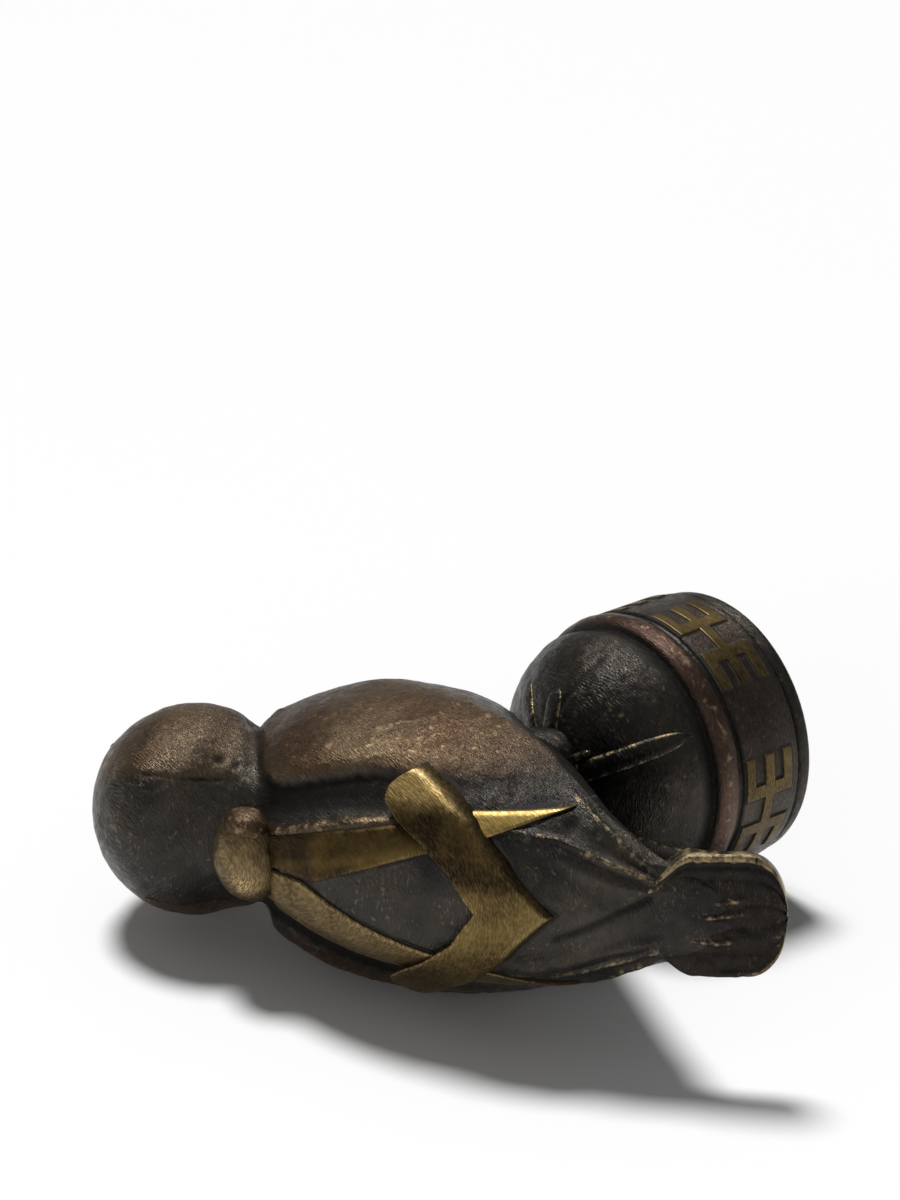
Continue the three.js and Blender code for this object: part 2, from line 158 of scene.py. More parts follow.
BODY_RIBS = [
    rib((10.5, 75.8), (18.5, 65.4), 12.7, (27.5, 53.0), 2.05, 0),
    rib((6.0, 76.6), (13.5, 61.6), 15.9, (24.0, 46.0), 2.1, 0),
    rib((0.5, 76.4), (6.5, 57.2), 18.4, (18.0, 38.5), 2.12, 0),
    rib((-6.0, 75.5), (-1.5, 53.8), 19.1, (9.5, 33.0), 2.1, 0.05),
    rib((-13.0, 73.5), (-10.0, 51.2), 18.8, (0.0, 30.6), 2.1, 0.28),
    rib((-20.0, 70.0), (-19.0, 50.0), 17.1, (-9.0, 31.5), 2.08, 0.6),
    rib((-28.0, 64.6), (-27.5, 50.4), 13.8, (-18.5, 35.5), 2.1, 0.7),
    rib((-34.5, 59.6), (-33.5, 50.6), 11.0, (-28.0, 40.0), 2.15, 0.62),
    rib((-39.8, 54.6), (-39.2, 49.8), 8.4, (-36.5, 43.5), 2.3, 0.5),
    rib((-43.8, 50.4), (-43.2, 48.6), 6.5, (-41.4, 45.8), 2.5, 0.25),
    rib((-46.4, 47.3), (-46.2, 46.9), 4.9, (-45.0, 45.3), 2.4, 0.1),
    rib((-49.0, 43.9), (-48.9, 43.8), 2.4, (-48.6, 43.5), 2.2, 0),
]
RIBS = np.array(head_ribs() + BODY_RIBS)
FIRST_RIB = 0.12
LAST_RIB = len(RIBS) - 1.0


def rib_at(u):
    i = np.clip(np.floor(u).astype(int), 0, len(RIBS) - 2)
    t = (u - i)[..., None]
    here = RIBS[i]
    following = RIBS[i + 1]
    before = np.where((i > 0)[..., None], RIBS[np.maximum(i - 1, 0)], 2 * here - following)
    beyond = RIBS[np.minimum(i + 2, len(RIBS) - 1)]
    after = np.where((i < len(RIBS) - 2)[..., None], beyond, 2 * following - here)
    slope = (following - before) * t
    bend = (2 * before - 5 * here + 4 * following - after) * t * t
    twist = (after - before + 3 * (here - following)) * t * t * t
    return here + 0.5 * (slope + bend + twist)


def skin_point(u, phi):
    back_x, back_z, mid_x, mid_z, half, belly_x, belly_z, square, tuck = np.moveaxis(rib_at(u), -1, 0)
    across = np.sin(phi)
    rise = np.cos(phi)
    lift = np.maximum(rise, 0) ** (2 / square)
    upper_side = np.sign(across) * np.abs(across) ** (2 / square)
    drop = np.maximum(-rise, 0)
    lower_side = across * (1 - tuck * drop)
    upper = rise > 0
    x = np.where(upper, lerp(mid_x, back_x, lift), lerp(mid_x, belly_x, drop))
    y = half * np.where(upper, upper_side, lower_side)
    z = np.where(upper, lerp(mid_z, back_z, lift), lerp(mid_z, belly_z, drop))
    return np.stack([x, y, z], axis=-1)


def skin_normal(u, phi):
    step = 0.02
    low = np.maximum(u - step, 0.05)
    high = np.minimum(u + step, LAST_RIB)
    along = skin_point(high, phi) - skin_point(low, phi)
    around = skin_point(u, phi + step) - skin_point(u, phi - step)
    normal = np.cross(around, along)
    return normal / np.linalg.norm(normal, axis=-1, keepdims=True)


def wing_edge_at(x):
    return lerp(14.8, 10.0, smooth(x, -10, 12))


def wing_front_at(z):
    return np.minimum(22, 13 + 1.25 * (71.5 - z))


def carving(point, bridged):
    """The broad carving: proud wings, the hollow beside the straps, the long quills and the ruff at the
    throat. A bridged skin has no hollow, because the chevron spans it."""
    x, y, z = np.moveaxis(point, -1, 0)
    side = np.abs(y)
    wing_edge = wing_edge_at(x)
    on_wing = smooth(side, wing_edge - 1.2, wing_edge + 1.6)
    wing_front = wing_front_at(z)
    wing_length = smooth(x, -30, -6) * (1 - smooth(x, wing_front - 3, wing_front))
    wing = 0.8 * on_wing * wing_length * smooth(z, 46, 54)
    neck_groove = -0.8 * bump(x - wing_front - 1, 1.6) * smooth(side, 8, 11) * smooth(z, 58, 64)
    hollow_length = smooth(x, -30, -6) * (1 - smooth(x, 8, 14))
    hollow = 0 if bridged else -1.2 * bump(side - wing_edge + 2.6, 2.2) * hollow_length
    quill_length = smooth(-x, 24, 30) * (1 - smooth(-x, 41, 45))
    quill_side = lerp(9.2, 3.6, smooth(-x, 27, 43))
    quill = 0.6 * bump(side - quill_side, 0.9) * quill_length * smooth(z, 46, 54)
    before_throat = (x - 21.5) * 0.81 + (z - 61.5) * 0.587
    ruff = 0.9 * bump(before_throat, 1.6) * (1 - smooth(z, 60, 64.5))
    return wing + neck_groove + hollow + quill + ruff


def body_points(u, phi, offset=0.0, bridged=False):
    point = skin_point(u, phi)
    height = carving(point, bridged) + offset
    return point + skin_normal(u, phi) * height[..., None]


# Meshes are gathered from grids of points, with four masks a point:
# warm brown, dark recess, copper red, and bright wear. The recess mask also carries painted shade, and
# the wear mask carries painted highlights.

class Gather:
    def __init__(self):
        self.points = []
        self.faces = []
        self.masks = []
        self.slots = []
        self.count = 0

    def add(self, points, faces, masks=None, slot=0):
        points = np.asarray(points, dtype=float).reshape(-1, 3)
        if masks is None:
            masks = np.zeros((len(points), 4))
        self.points.append(points)
        self.masks.append(np.asarray(masks, dtype=float).reshape(-1, 4))
        self.faces.extend(tuple(int(k) + self.count for k in face) for face in faces)
        self.slots.extend([slot] * len(faces))
        self.count += len(points)

    def grid(self, rows, masks=None, closed=True, caps=True, slot=0):
        """Rings of points joined in order; each ring is closed, and both end rings are capped."""
        rows = np.asarray(rows, dtype=float)
        n, m = rows.shape[:2]
        faces = []
        last = m if closed else m - 1
        for i in range(n - 1):
            for j in range(last):
                a = i * m + j
                b = i * m + (j + 1) % m
                faces.append((a, a + m, b + m, b))
        if caps:
            faces.append(tuple(range(m)))
            faces.append(tuple(reversed(range((n - 1) * m, n * m))))
        self.add(rows, faces, masks, slot)

    def build(self, name, materials, smooth_shade=True):
        mesh = bpy.data.meshes.new(name)
        inside_box = np.clip(to_world(np.concatenate(self.points)), BOX_LOW, BOX_HIGH)
        mesh.from_pydata(inside_box.tolist(), [], self.faces)
        for material in materials:
            mesh.materials.append(material)
        mesh.polygons.foreach_set("material_index", np.array(self.slots, dtype=np.int32))
        layer = mesh.color_attributes.new("masks", "FLOAT_COLOR", "POINT")
        layer.data.foreach_set("color", np.concatenate(self.masks).ravel())
        mesh.validate()
        if smooth_shade:
            mesh.shade_smooth()
        mesh.update()
        piece = bpy.data.objects.new(name, mesh)
        bpy.context.scene.collection.objects.link(piece)
        return piece


# Materials

SPECKLE_ROUGHNESS = 0.6
FILE_TURN = (0.3, 0.5, 0.75)


class Nodes:
    """A small helper to wire shader nodes"""
    def __init__(self, name):
        self.material = bpy.data.materials.new(name)
        self.material.use_nodes = True
        self.tree = self.material.node_tree
        self.shader = self.tree.nodes["Principled BSDF"]
        self.place = self.new("ShaderNodeTexCoord").outputs["Object"]
        self.masks = self.new("ShaderNodeSeparateColor")
        source = self.new("ShaderNodeAttribute")
        source.attribute_name = "masks"
        self.link(source.outputs["Color"], self.masks.inputs["Color"])
        self.wear_and_sheen = source.outputs["Alpha"]

    def new(self, kind, **values):
        node = self.tree.nodes.new(kind)
        for key, value in values.items():
            setattr(node, key, value)
        return node

    def link(self, source, target):
        self.tree.links.new(source, target)

    def speckle(self, scale, detail=4.0, stretch=None, turn=(0, 0, 0)):
        texture = self.new("ShaderNodeTexNoise")
        texture.inputs["Scale"].default_value = scale
        texture.inputs["Detail"].default_value = detail
        texture.inputs["Roughness"].default_value = SPECKLE_ROUGHNESS
        if stretch:
            mapping = self.new("ShaderNodeMapping")
            mapping.inputs["Scale"].default_value = stretch
            mapping.inputs["Rotation"].default_value = turn
            self.link(self.place, mapping.inputs["Vector"])
            self.link(mapping.outputs["Vector"], texture.inputs["Vector"])
        else:
            self.link(self.place, texture.inputs["Vector"])
        return texture.outputs["Fac"]

    def ramp(self, value, low, high, to_low=0.0, to_high=1.0):
        node = self.new("ShaderNodeMapRange")
        node.inputs["From Min"].default_value = low
        node.inputs["From Max"].default_value = high
        node.inputs["To Min"].default_value = to_low
        node.inputs["To Max"].default_value = to_high
        self.link(value, node.inputs["Value"])
        return node.outputs["Result"]

    def maths(self, operation, a, b):
        node = self.new("ShaderNodeMath", operation=operation)
        for socket, value in zip(node.inputs, (a, b)):
            if isinstance(value, (int, float)):
                socket.default_value = value
            else:
                self.link(value, socket)
        return node.outputs[0]

    def mix(self, share, a, b):
        node = self.new("ShaderNodeMix", data_type="RGBA")
        self.link(share, node.inputs[0])
        for socket, value in zip((node.inputs[6], node.inputs[7]), (a, b)):
            if isinstance(value, tuple):
                socket.default_value = (*value, 1)
            else:
                self.link(value, socket)
        return node.outputs[2]

    def relief(self, *layers):
        """Bump from (height, strength, distance) layers, one over the other"""
        normal = None
        for height, strength, distance in layers:
            node = self.new("ShaderNodeBump")
            node.inputs["Strength"].default_value = strength
            node.inputs["Distance"].default_value = distance
            self.link(height, node.inputs["Height"])
            if normal is not None:
                self.link(normal, node.inputs["Normal"])
            normal = node.outputs["Normal"]
        self.link(normal, self.shader.inputs["Normal"])

    def creases(self, scale, stretch, turn, width):
        """Thin wandering lines, 1 on the line and 0 beside it"""
        wander = self.speckle(scale, detail=1, stretch=stretch, turn=turn)
        off_line = self.maths("ABSOLUTE", self.maths("SUBTRACT", wander, 0.5), 0.0)
        return self.ramp(off_line, 0.0, width, 1.0, 0.0)


def bronze_material():
    """Dark brown-black patina with warm brown rubbed places, fine slanted file scratches and pits. The
    rubbed colour also paints highlights, and the near-black recess colour paints shade.
    """
    n = Nodes("bronze")
    warm, recess, copper = (n.masks.outputs[k] for k in ("Red", "Green", "Blue"))
    cloud = n.speckle(55, detail=6)
    lumps = n.speckle(260, detail=3)
    fine = n.speckle(900, detail=3)
    scratch = n.speckle(800, detail=2, stretch=(1, 9, 1.6), turn=FILE_TURN)
    grit = n.speckle(2600, detail=2)
    long_scratch = n.creases(110, (1, 4, 1.4), (0.2, 0.4, 0.6), 0.012)
    cross_scratch = n.creases(130, (4, 1, 1.6), (0.5, 0.1, 0.3), 0.010)
    lines = n.maths("MAXIMUM", long_scratch, cross_scratch)
    cool = n.mix(n.ramp(cloud, 0.38, 0.64), (0.017, 0.016, 0.015), (0.052, 0.045, 0.036))
    brown = n.mix(n.ramp(cloud, 0.36, 0.66), (0.070, 0.032, 0.014), (0.120, 0.078, 0.041))
    base = n.mix(warm, cool, brown)
    reddish = n.mix(n.ramp(cloud, 0.4, 0.62), (0.06, 0.028, 0.018), (0.12, 0.065, 0.045))
    base = n.mix(n.maths("MULTIPLY", copper, 0.85), base, reddish)
    # Rubbed places: wear, and painted highlights where the wear mask marks lit edges
    spotty = n.maths("ADD", n.wear_and_sheen, n.ramp(fine, 0.3, 0.7, -0.45, 0.45))
    rubbed = n.ramp(spotty, 0.35, 0.85)
    base = n.mix(rubbed, base, (0.36, 0.27, 0.145))
    chips = n.maths("MULTIPLY", n.ramp(scratch, 0.56, 0.68), n.ramp(lumps, 0.44, 0.60))
    base = n.mix(n.maths("MULTIPLY", chips, 0.24), base, (0.34, 0.26, 0.16))
    base = n.mix(n.maths("MULTIPLY", lines, 0.35), base, (0.008, 0.007, 0.006))
    # Near-black: patina in the hollows, and painted shade on the band beside the straps
    base = n.mix(n.maths("MULTIPLY", recess, 0.92), base, (0.007, 0.006, 0.005))
    n.link(base, n.shader.inputs["Base Color"])
    n.shader.inputs["Metallic"].default_value = 0.82
    rough = n.ramp(fine, 0.35, 0.65, 0.28, 0.46)
    rough = n.maths("ADD", rough, n.maths("MULTIPLY", warm, 0.07))
    rough = n.maths("ADD", rough, n.maths("MULTIPLY", recess, 0.35))
    n.link(rough, n.shader.inputs["Roughness"])
    n.relief((cloud, 0.3, 0.0012), (lumps, 0.2, 0.0004), (lines, -0.3, 0.0002), (scratch, 0.85, 0.00018),
             (fine, 0.3, 0.0001), (grit, 0.3, 0.00003))
    return n.material


def brass_material():
    """Yellow brass under a brown tarnish, brightest where it is rubbed, with fine file marks. The brown
    also carries painted shade, and the brightest yellow carries painted highlights.
    """
    n = Nodes("brass")
    tan, recess, tarnish = (n.masks.outputs[k] for k in ("Red", "Green", "Blue"))
    cloud = n.speckle(120, detail=5)
    scratch = n.speckle(900, detail=2, stretch=(1, 10, 1.5), turn=FILE_TURN)
    fine = n.speckle(1500, detail=3)
    yellow = n.mix(n.ramp(cloud, 0.36, 0.66), (0.17, 0.105, 0.024), (0.30, 0.205, 0.062))
    pale = n.mix(n.ramp(cloud, 0.36, 0.66), (0.092, 0.064, 0.034), (0.158, 0.115, 0.063))
    base = n.mix(tan, yellow, pale)
    brown = n.mix(n.ramp(cloud, 0.38, 0.62), (0.018, 0.010, 0.0045), (0.052, 0.032, 0.010))
    # Brown tarnish, which on the chevron and the right strap is also painted shade
    patchy = n.maths("MULTIPLY", tarnish, n.ramp(cloud, 0.3, 0.6, 1.15, 0.85))
    base = n.mix(n.maths("MINIMUM", patchy, 1.0), base, brown)
    # Bright rubbed yellow: wear, and painted highlights on lit edges and on the knob's glint
    bright = n.maths("MULTIPLY", n.ramp(scratch, 0.42, 0.66), n.wear_and_sheen)
    base = n.mix(bright, base, (0.70, 0.52, 0.24))
    base = n.mix(n.maths("MULTIPLY", recess, 0.85), base, (0.022, 0.014, 0.008))
    n.link(base, n.shader.inputs["Base Color"])
    n.shader.inputs["Metallic"].default_value = 0.95
    n.link(n.ramp(fine, 0.3, 0.7, 0.34, 0.54), n.shader.inputs["Roughness"])
    n.relief((cloud, 0.3, 0.0006), (scratch, 0.3, 0.0001), (fine, 0.3, 0.00006))
    return n.material


def grime_material():
    """The dark dirt that fills the joints round the inlays"""
    n = Nodes("grime")
    fine = n.speckle(1200, detail=4)
    n.link(n.mix(n.ramp(fine, 0.35, 0.65), (0.007, 0.006, 0.005), (0.022, 0.018, 0.014)),
           n.shader.inputs["Base Color"])
    n.shader.inputs["Roughness"].default_value = 0.8
    n.relief((fine, 0.4, 0.0001))
    return n.material


BRONZE = bronze_material()
BRASS = brass_material()
GRIME = grime_material()

casting = Gather()


# The bird's body: lines of its fine relief, and pits as centre and size

SEAM = [(24.5, 9.0, 82.4), (19.7, 8.9, 79.7), (16.2, 8.7, 75.7), (10.3, 9.9, 72.8), (4.0, 12.2, 71.8),
        (-7.3, 13.9, 68.1)]
PITS = [(17.8, -10.5, 74.3, 0.6), (13.9, -10.5, 71.5, 0.5), (12.0, -5.5, 75.0, 0.5),
        (15.9, -9.9, 73.0, 0.35), (-26.7, 11.0, 60.3, 1.0), (-20.5, -12.9, 64.4, 0.5),
        (6.5, -12.0, 71.9, 0.4), (1.0, -16.1, 66.0, 0.35)]
LOW_QUILL = [(-27.5, 13.2, 52.6), (-31.9, 11.6, 52.9), (-37.2, 8.9, 52.6), (-41.4, 6.6, 51.2)]
HIGH_QUILL = [(-26.0, 10.0, 61.5), (-31.9, 9.4, 58.1), (-36.5, 7.5, 55.5), (-40.8, 5.8, 52.5),
              (-42.5, 4.7, 51.4)]
VALLEY = [(-31.9, 10.6, 55.7), (-36.9, 8.3, 54.2), (-41.0, 6.3, 51.9)]
CENTRE_GROOVE = [(-33.0, 3.6, 60.6), (-36.2, 1.7, 58.0), (-39.5, -0.9, 54.8), (-42.3, -2.6, 52.1)]
LEDGE = [(8.2, 4.6, 76.4), (3.9, 5.2, 76.1), (-4.3, 7.9, 73.8), (-12.7, 10.3, 70.2), (-17.0, 11.6, 67.6)]
GROWTH_LINES = (1.7, 2.8, 3.6, 4.6)

# Heights and depths of the fine relief
GROWTH_HEIGHT = 0.14
CREASE_DEPTH = 0.35
LEDGE_HEIGHT = 0.55
SEAM_DEPTH = 0.22
PIT_DEPTH = 0.3
QUILL_HEIGHT = 0.55
VALLEY_DEPTH = 0.5
GROOVE_DEPTH = 0.35
RUFF_HEIGHT = 0.45
CROWN_HEIGHT = 0.22


def body_relief(point):
    """Fine relief over the carving, in millimetres along the normal, and the colour masks"""
    x, y, z = np.moveaxis(point, -1, 0)
    side = np.abs(y)
    folded = np.stack([x, side, z], axis=-1)
    wing_edge = wing_edge_at(x)
    wing_front = wing_front_at(z)
    hollow_length = smooth(x, -30, -6) * (1 - smooth(x, 8, 14))
    relief = 0.14 * grain(point, 6.0) + 0.10 * grain(point, 2.2, 7.0) + 0.05 * grain(point, 0.9, 3.0)
    behind_front = 1 - smooth(x, wing_front - 1.5, wing_front + 0.5)
    on_hump = smooth(side, wing_edge - 0.3, wing_edge + 1.2) * smooth(x, -30, -10) * behind_front
    on_hump = on_hump * smooth(z, 45, 51)
    growth = np.zeros_like(x)
    wander = 0.5 * grain(point, 4.0, 21.0)
    for shift in GROWTH_LINES:
        growth = growth + bump(side - wing_edge - shift - wander + 0.1 * np.minimum(x + 3, 0), 0.22)
    growth = growth * on_hump * smooth(-x, -6, 4) * (1 - smooth(-x, 14, 26))
    relief = relief + GROWTH_HEIGHT * growth
    crease = bump(side - wing_edge + 0.9, 0.55) * hollow_length * smooth(z, 60, 64)
    relief = relief - CREASE_DEPTH * crease
    to_ledge = line_distance(folded, LEDGE)
    lip = bump(to_ledge, 0.62)
    relief = relief + (LEDGE_HEIGHT + 0.3 * grain(point, 1.2, 13.0)) * lip
    seam = line_distance(folded, SEAM)
    relief = relief - SEAM_DEPTH * bump(seam, 0.28)
    pits = np.zeros_like(x)
    for px, py, pz, size in PITS:
        pits = pits + bump(np.linalg.norm(point - np.array([px, py, pz]), axis=-1), size)
    relief = relief - PIT_DEPTH * pits
    to_low = line_distance(folded, LOW_QUILL)
    to_high = line_distance(folded, HIGH_QUILL)
    to_valley = line_distance(folded, VALLEY)
    to_groove = line_distance(point, CENTRE_GROOVE)
    quills = np.maximum(bump(to_low, 0.55), bump(to_high, 0.45))
    valley = bump(to_valley, 1.1)
    groove = bump(to_groove, 0.4)
    relief = relief + QUILL_HEIGHT * quills - VALLEY_DEPTH * valley - GROOVE_DEPTH * groove
    before_throat = (x - 21.5) * 0.81 + (z - 61.5) * 0.587
    ruff = bump(before_throat, 1.4) * (1 - smooth(z, 60, 64.5))
    relief = relief + RUFF_HEIGHT * ruff * grain(point, 0.8, 5.0)
    head = np.linalg.norm(point - np.array([HEAD_CENTRE[0], 0, HEAD_CENTRE[1]]), axis=-1)
    on_head = 1 - smooth(head, HEAD_RADIUS - 0.2, HEAD_RADIUS + 1.5)
    crown = on_head * smooth(side, 8.0 - 0.55 * np.maximum(x - 26, 0), 9.6 - 0.2 * np.maximum(x - 26, 0))
    relief = relief + CROWN_HEIGHT * crown

    cloud = 0.5 + 0.5 * grain(point, 9.0, 31.0)
    brow_side = 0.6 + 0.4 * smooth(x, 20, 31)
    warm = np.maximum(0.85 * on_hump, crown * brow_side * (0.7 + 0.3 * cloud))
    warm = np.maximum(warm, 0.9 * lip)
    # Warm brown on the upper side of the face only: partly its brown patina, partly painted light on the
    # lit side.
    warm = np.maximum(warm, 0.95 * on_head * smooth(x, 29, 37) * smooth(-y, -4, 3) * (0.5 + 0.5 * cloud))
    # The band beside the straps is a face turned from the light; its darkening in the recess mask is
    # painted shade.
    band = smooth(side, wing_edge - 5.2, wing_edge - 3.9)
    band = band * (1 - smooth(side, wing_edge - 0.9, wing_edge - 0.1))
    band = band * hollow_length * smooth(z, 62, 66) * (1 - lip)
    front_groove = bump(x - wing_front - 0.6, 0.8) * smooth(side, 9, 12) * smooth(z, 58, 64)
    # Recess darkening: real hollows, seam and pits, and painted shade on the band
    recess = 0.92 * band + 0.8 * crease + bump(seam, 0.3) + pits + 0.6 * front_groove
    recess = recess + 0.45 * valley + 0.7 * groove
    # The wear on the lip is partly painted highlight on the lit ledge.
    wear_and_sheen = 0.5 * lip + 0.3 * growth + 0.5 * quills + 0.03 * on_hump + 0.03 * crown
    copper = 0.5 * warm * on_head * cloud * smooth(x, 26, 34)
    masks = np.stack([np.clip(warm, 0, 1), np.clip(recess, 0, 1), copper, np.clip(wear_and_sheen, 0, 1)], axis=-1)
    return relief, masks


def make_body():
    rows, columns = 212, 206
    u = np.linspace(FIRST_RIB, LAST_RIB, rows)[:, None] * np.ones(columns)
    phi = -2 * np.pi * np.arange(columns)[None, :] / columns * np.ones((rows, 1))
    smooth_points = body_points(u, phi)
    normal = skin_normal(u, phi)
    relief, masks = body_relief(smooth_points)
    points = smooth_points + normal * relief[..., None]
    casting.grid(points, masks)


# The tail

TAIL_ROOT = (-42.1, 51.3)
TAIL_SLOPE = math.radians(45.5)
TAIL_LENGTH = 17.0
TAIL_HALF = 8.6
TAIL_FEATHERS = 5
# Feather shafts as place across the fan, start and end along it
SHAFTS = [(0.24, 4.0, 11.0), (0.02, 5.0, 11.0), (-0.12, 3.5, 5.0), (-0.4, 4.0, 9.0)]


def tail_half_width(s):
    flare = lerp(4.6, TAIL_HALF, smooth(s, -1.5, 5))
    end = np.maximum(0, (s - 11) / (TAIL_LENGTH - 11))
    return flare * np.sqrt(np.maximum(0, 1 - end ** 2.6 * 0.92))


def tail_points(s, t, top):
    """Points of the fan, s millimetres from its root and t from -1 to 1 across it"""
    along = (-math.cos(TAIL_SLOPE), -math.sin(TAIL_SLOPE))
    out = (-math.sin(TAIL_SLOPE), math.cos(TAIL_SLOPE))
    feather = np.abs(np.sin((t + 1) / 2 * TAIL_FEATHERS * np.pi))
    crown = 0.3 * feather ** 0.5 - 0.3
    thickness = lerp(3.6, 1.3, smooth(s, 0, 9))
    lift = np.where(top, crown, -thickness)
    return np.stack([
        TAIL_ROOT[0] + along[0] * s + out[0] * lift,
        t * tail_half_width(s),
        TAIL_ROOT[1] + along[1] * s + out[1] * lift,
    ], axis=-1)


def make_tail():
    rows, columns = 70, 90
    s = np.linspace(-3, TAIL_LENGTH, rows)[:, None] * np.ones(columns)
    t = np.linspace(1, -1, columns)[None, :] * np.ones((rows, 1))
    chip = 0.9 * bump(s - 15.6, 1.0) * bump(t - 0.75, 0.22)
    chip = chip + 0.5 * bump(s - 11.5, 0.7) * smooth(t, 0.8, 1.0)
    nick = 0.35 * grain(np.stack([s, t * 9, 0 * s], axis=-1), 1.3) * smooth(s, 8, 12)
    reach = s - (0.45 * chip + nick) * smooth(s, 6, 14)
    narrow = t * (1 - 0.04 * chip + 0.015 * nick)
    top = tail_points(reach, narrow, True)
    under = tail_points(reach, narrow, False)[:, ::-1]
    out = np.array([-math.sin(TAIL_SLOPE), 0, math.cos(TAIL_SLOPE)])
    shafts = np.zeros_like(s)
    for place, start, end in SHAFTS:
        line = place + 0.04 * np.sin(s * 0.6)
        length = smooth(s, start, start + 1.0) * (1 - smooth(s, end, end + 1.5))
        shafts = shafts + bump(t + line, 0.05) * length
    upper_edge = smooth(-t, 0.84, 0.93) * smooth(s, -0.5, 1.5)
    lower_edge = smooth(t, 0.86, 0.95) * smooth(s, 6, 9)
    end_edge = smooth(s, TAIL_LENGTH - 1.4, TAIL_LENGTH - 0.6)
    knuckle = np.maximum(bump(s + 0.2, 1.5) * bump(t + 0.78, 0.22),
                         0.7 * bump(s - 1.6, 1.0) * bump(t + 0.3, 0.3))
    rough = 0.16 * grain(top, 2.4) + 0.10 * grain(top, 0.9, 3.0)
    lift = rough + 0.4 * shafts + 0.6 * upper_edge + 0.3 * lower_edge + 0.15 * end_edge
    lift = lift + (0.8 + 0.4 * grain(top, 1.1, 17.0)) * knuckle
    top = top + out * lift[..., None]
    under = under + out * (0.08 * grain(under, 2.0, 9.0))[..., None]
    beside_edge = bump(t + 0.78, 0.05) * smooth(s, 1, 3)
    dark = 0.45 - 0.5 * shafts + 0.4 * beside_edge - 0.4 * knuckle
    # Wear on the upper edge is partly painted highlight on the lit edge.
    worn = 0.72 * upper_edge + 0.55 * lower_edge * smooth(s, 9, 12) + 0.25 * end_edge
    worn = worn + 0.42 * shafts + 0.6 * knuckle
    recess = np.clip(dark * (1 - worn), 0, 1)
    masks_top = np.stack([0.1 + 0 * s, recess, 0 * s, np.clip(worn, 0, 1)], axis=-1)
    masks_under = np.zeros((rows, columns, 4))
    masks_under[..., 3] = 0.5 * smooth(np.abs(t), 0.97, 1.0)
    ring = np.concatenate([top, under], axis=1)
    casting.grid(ring, np.concatenate([masks_top, masks_under], axis=1))


# The base

RIM_RADIUS = 2.05
RIM_MIDDLE = 15.4
ENGRAVED_ARC = [(-3.4, -18.5, 18.3), (-2.4, -16.5, 23.9), (-1.1, -14.2, 26.5), (0, -11.5, 28.3),
                (1.3, -8.5, 29.5)]


def dome_height(radius):
    return DRUM_HEIGHT + DOME_HEIGHT * np.sqrt(np.maximum(0, 1 - (radius / (BASE_RADIUS - 0.6)) ** 2))


def base_profile():
    """Radius and height of the turned base, from near the middle of its underside to the dome's top"""
    points = [(0.5, 0), (9, 0), (18.6, 0), (18.95, 0.1), (19.1, 0.4), (19.1, 1.8), (18.7, 2.15),
              (18.5, 2.35), (18.8, 2.6), (19.35, 2.7), (BASE_RADIUS, 2.9)]
    points += [(BASE_RADIUS, z) for z in np.linspace(3.4, 12.6, 19)]
    points += [(19.4, 12.9), (19.15, 13.0), (19.1, 13.1), (19.25, 13.25)]
    for angle in np.radians(np.linspace(-75, 88, 17)):
        points.append((BASE_RADIUS - 0.65 + 0.66 * RIM_RADIUS * (math.cos(angle) - math.cos(1.3)),
                       RIM_MIDDLE + RIM_RADIUS * math.sin(angle)))
    points += [(18.2, 17.6), (18.1, 17.9)]
    for angle in np.linspace(0.16, math.pi / 2 - 0.03, 44):
        radius = (BASE_RADIUS - 0.7) * math.cos(angle)
        points.append((radius, float(dome_height(radius))))
    return np.array(points)


def make_base():
    profile = base_profile()
    segments = 210
    angle = 2 * np.pi * np.arange(segments) / segments
    radius = profile[:, 0][:, None]
    height = profile[:, 1][:, None] * np.ones(segments)
    points = np.stack([radius * np.cos(angle), radius * np.sin(angle), height], axis=-1)
    on_dome = smooth(height, DRUM_HEIGHT, DRUM_HEIGHT + 0.5) * smooth(19.0 - radius, 0.2, 1.0)
    arc = line_distance(points, ENGRAVED_ARC)
    relief = -0.3 * bump(arc, 0.3) * on_dome
    rough = 0.14 * grain(points, 3.0) + 0.10 * grain(points, 1.2, 5.0)
    on_drum = smooth(height, 2.8, 3.2) * (1 - smooth(height, 12.4, 12.8))
    calm = (1 - 0.7 * on_drum) * smooth(height, 0.2, 1.0) * (0.4 + 0.6 * on_dome)
    relief = relief + rough * calm
    outward = points * np.array([1, 1, 0])
    outward = outward / np.maximum(np.linalg.norm(outward, axis=-1, keepdims=True), 1e-6)
    lift = np.stack([np.zeros_like(relief), np.zeros_like(relief), np.ones_like(relief)], axis=-1)
    tilt = smooth(height, DRUM_HEIGHT, DRUM_HEIGHT + DOME_HEIGHT)[..., None]
    normal = outward * (1 - tilt) + lift * tilt
    points = points + normal * relief[..., None]
    on_rim = smooth(height, 13.6, 14.2) * (1 - smooth(height, 17.0, 17.5))
    grooves = bump(height - 13.05, 0.16) + bump(height - 17.8, 0.5) + bump(height - 2.3, 0.35)
    crest = on_rim * bump(height - 15.9, 0.9)
    masks = np.stack([
        0.2 * on_drum, np.clip(grooves + 0.8 * bump(arc, 0.4) * on_dome, 0, 1), 0.8 * on_rim,
        0.3 * crest + 0.04 * on_dome,
    ], axis=-1)
    casting.grid(points[::-1], masks[::-1])


# Legs, claws and face

